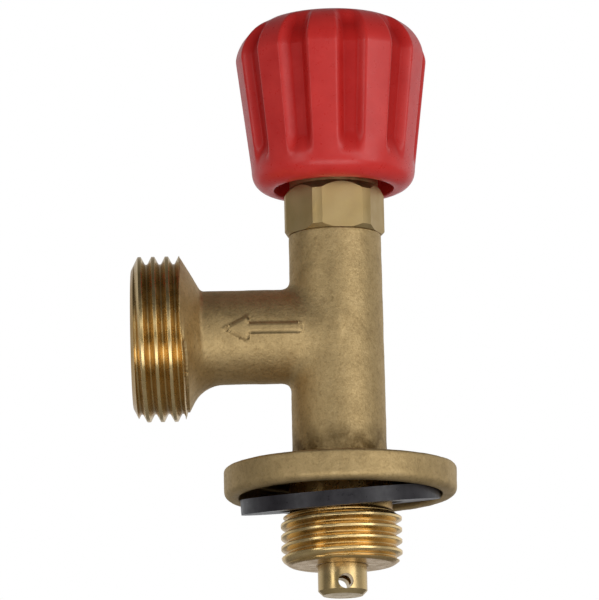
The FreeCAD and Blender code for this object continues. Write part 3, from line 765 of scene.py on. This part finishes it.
# painted light and shade: the spigot's copy of the turned brass is tinted brighter (1.35) to paint light on
# it, and the nut's copy darker (0.82) to paint shade
SPIGOT_BRASS = machined_brass("spigot_brass", "Z", 1.35, thread=(7.1, 7.8, 0))
NUT_BRASS = machined_brass("nut_brass", "Z", 0.82, 0.42)
RED = red_plastic()
STEEL = plated_steel()

forging = make_forging()
outlet = make_outlet()
spigot = make_spigot()
for piece, material in ((forging, FORGED), (outlet, OUTLET_BRASS), (spigot, SPIGOT_BRASS)):
    dress(piece, material)
    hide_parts("valve_body")
wheel = make_handwheel()
dress(wheel, RED)
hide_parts("handwheel")

CAD_FINISH = {
    "actuating_pin": (TURNED_UPRIGHT, 0.12),
    "base_gasket": (black_rubber(), 0.18),
    "gland_nut": (NUT_BRASS, 0.12),
    "gland_seal": (white_nylon(), 0.05),
    "handwheel_insert": (TURNED_UPRIGHT, 0.08),
    "handwheel_screw": (STEEL, 0.08),
    "handwheel_washer": (STEEL, 0.06),
    "seat_disc": (seat_rubber(), 0.08),
    "seat_screw": (TURNED_UPRIGHT, 0.05),
    "spindle_plug": (TURNED_UPRIGHT, 0.06),
    "spindle_ring_lower": (bpy.data.materials["seat_rubber"], 0),
    "spindle_ring_upper": (bpy.data.materials["seat_rubber"], 0),
    "spring_washer": (STEEL, 0.06),
    "thrust_washer": (bpy.data.materials["white_nylon"], 0.05),
    "upper_spindle": (TURNED_UPRIGHT, 0.08),
}
for node, (material, edge) in CAD_FINISH.items():
    part = nodes[node]
    dress(part, material)
    if edge:
        bevel = part.modifiers.new("SoftEdge", "BEVEL")
        bevel.width = edge * MM
        bevel.segments = 3
        bevel.limit_method = "ANGLE"
        bevel.angle_limit = math.radians(35)
        bevel.harden_normals = True


# ---------------------------------------------------------------- camera, floor and light

VIEW_ELEVATION = math.radians(-11.6)
VIEW_ROLL = math.radians(1.225)
VIEW_DISTANCE = 0.7
VIEW_SPAN = 0.07986
VIEW_CENTRE = Vector((-4.89, 0, 26.74)) * MM
SENSOR = 36.0

camera_data = bpy.data.cameras.new("camera")
camera_data.sensor_width = SENSOR
camera_data.lens = SENSOR * VIEW_DISTANCE / VIEW_SPAN
camera_data.clip_start = 0.01
camera = bpy.data.objects.new("camera", camera_data)
bpy.context.scene.collection.objects.link(camera)
towards = Vector((0, math.cos(VIEW_ELEVATION), -math.sin(VIEW_ELEVATION)))
camera.location = VIEW_CENTRE - towards * VIEW_DISTANCE
facing = towards.to_track_quat("-Z", "Y").to_matrix().to_4x4()
camera.matrix_world = Matrix.Translation(camera.location) @ facing @ Matrix.Rotation(-VIEW_ROLL, 4, "Z")
bpy.context.scene.camera = camera

FLOOR_HEIGHT = -0.8
FLOOR_REACH = 3
floor_mesh = bpy.data.meshes.new("floor")
quarters = ((-1, -1), (1, -1), (1, 1), (-1, 1))
floor_corners = [(x * FLOOR_REACH, y * FLOOR_REACH, FLOOR_HEIGHT) for x, y in quarters]
floor_mesh.from_pydata(floor_corners, [], [(0, 1, 2, 3)])
floor = bpy.data.objects.new("floor", floor_mesh)
bpy.context.scene.collection.objects.link(floor)
pale = Shader("pale_floor", Roughness=0.9)
pale.principled.inputs["Base Color"].default_value = (0.85, 0.85, 0.85, 1)
dress(floor, pale.material)


LIGHT_DISTANCE = 0.65
LIGHT_AIM_HEIGHT = 0.025


def soft_light(name, azimuth, elevation, size, radiance):
    """A softbox that faces the object, placed in degrees right of the camera and above the horizon."""
    turn, rise = math.radians(azimuth), math.radians(elevation)
    level = math.cos(rise)
    towards_light = Vector((math.sin(turn) * level, -math.cos(turn) * level, math.sin(rise)))
    data = bpy.data.lights.new(name, "AREA")
    data.shape = "RECTANGLE"
    data.size, data.size_y = size
    data.energy = radiance * math.pi * size[0] * size[1]
    light = bpy.data.objects.new(name, data)
    light.location = Vector((0, 0, LIGHT_AIM_HEIGHT)) + towards_light * LIGHT_DISTANCE
    light.rotation_euler = towards_light.to_track_quat("Z", "Y").to_euler()
    light.visible_camera = False
    bpy.context.scene.collection.objects.link(light)


soft_light("left_box", -47, 6, (0.15, 0.50), 2.0)
soft_light("right_box", 48, 6, (0.34, 0.50), 1.65)
soft_light("low_box", 2, -33, (0.80, 0.24), 2.2)
soft_light("front_box", 12, 10, (0.5, 0.14), 1.1)

world = bpy.data.worlds.new("studio")
bpy.context.scene.world = world
world.use_nodes = True
tree = world.node_tree
backdrop = tree.nodes["Background"]
backdrop.inputs["Color"].default_value = (1, 1, 1, 1)
backdrop.inputs["Strength"].default_value = 1.0
ambient = tree.nodes.new("ShaderNodeBackground")
ambient.inputs["Color"].default_value = (0.97, 0.98, 1.0, 1)
direction = tree.nodes.new("ShaderNodeTexCoord")
apart = tree.nodes.new("ShaderNodeSeparateXYZ")
tree.links.new(direction.outputs["Generated"], apart.inputs["Vector"])


def sky_span(axis, start, stop, low_value, high_value, kind="LINEAR"):
    """A value that runs from low to high as the sky's direction goes from start to stop along an axis."""
    node = tree.nodes.new("ShaderNodeMapRange")
    node.interpolation_type = kind
    node.inputs["From Min"].default_value = start
    node.inputs["From Max"].default_value = stop
    node.inputs["To Min"].default_value = low_value
    node.inputs["To Max"].default_value = high_value
    tree.links.new(apart.outputs[axis], node.inputs["Value"])
    return node.outputs["Result"]


rightward = sky_span("X", -0.9, 0.9, 0.15, 0.38)
behind = sky_span("Y", 0.0, 0.6, 0.0, 0.42, "SMOOTHSTEP")
overhead = sky_span("Z", 0.2, 0.8, 1.0, 0.3, "SMOOTHSTEP")
around = tree.nodes.new("ShaderNodeMath")
tree.links.new(rightward, around.inputs[0])
tree.links.new(behind, around.inputs[1])
strength = tree.nodes.new("ShaderNodeMath")
strength.operation = "MULTIPLY"
tree.links.new(around.outputs["Value"], strength.inputs[0])
tree.links.new(overhead, strength.inputs[1])
tree.links.new(strength.outputs["Value"], ambient.inputs["Strength"])
paths = tree.nodes.new("ShaderNodeLightPath")
mix = tree.nodes.new("ShaderNodeMixShader")
tree.links.new(paths.outputs["Is Camera Ray"], mix.inputs["Fac"])
tree.links.new(ambient.outputs["Background"], mix.inputs[1])
tree.links.new(backdrop.outputs["Background"], mix.inputs[2])
tree.links.new(mix.outputs["Shader"], tree.nodes["World Output"].inputs["Surface"])
bpy.context.scene.view_settings.view_transform = "Standard"
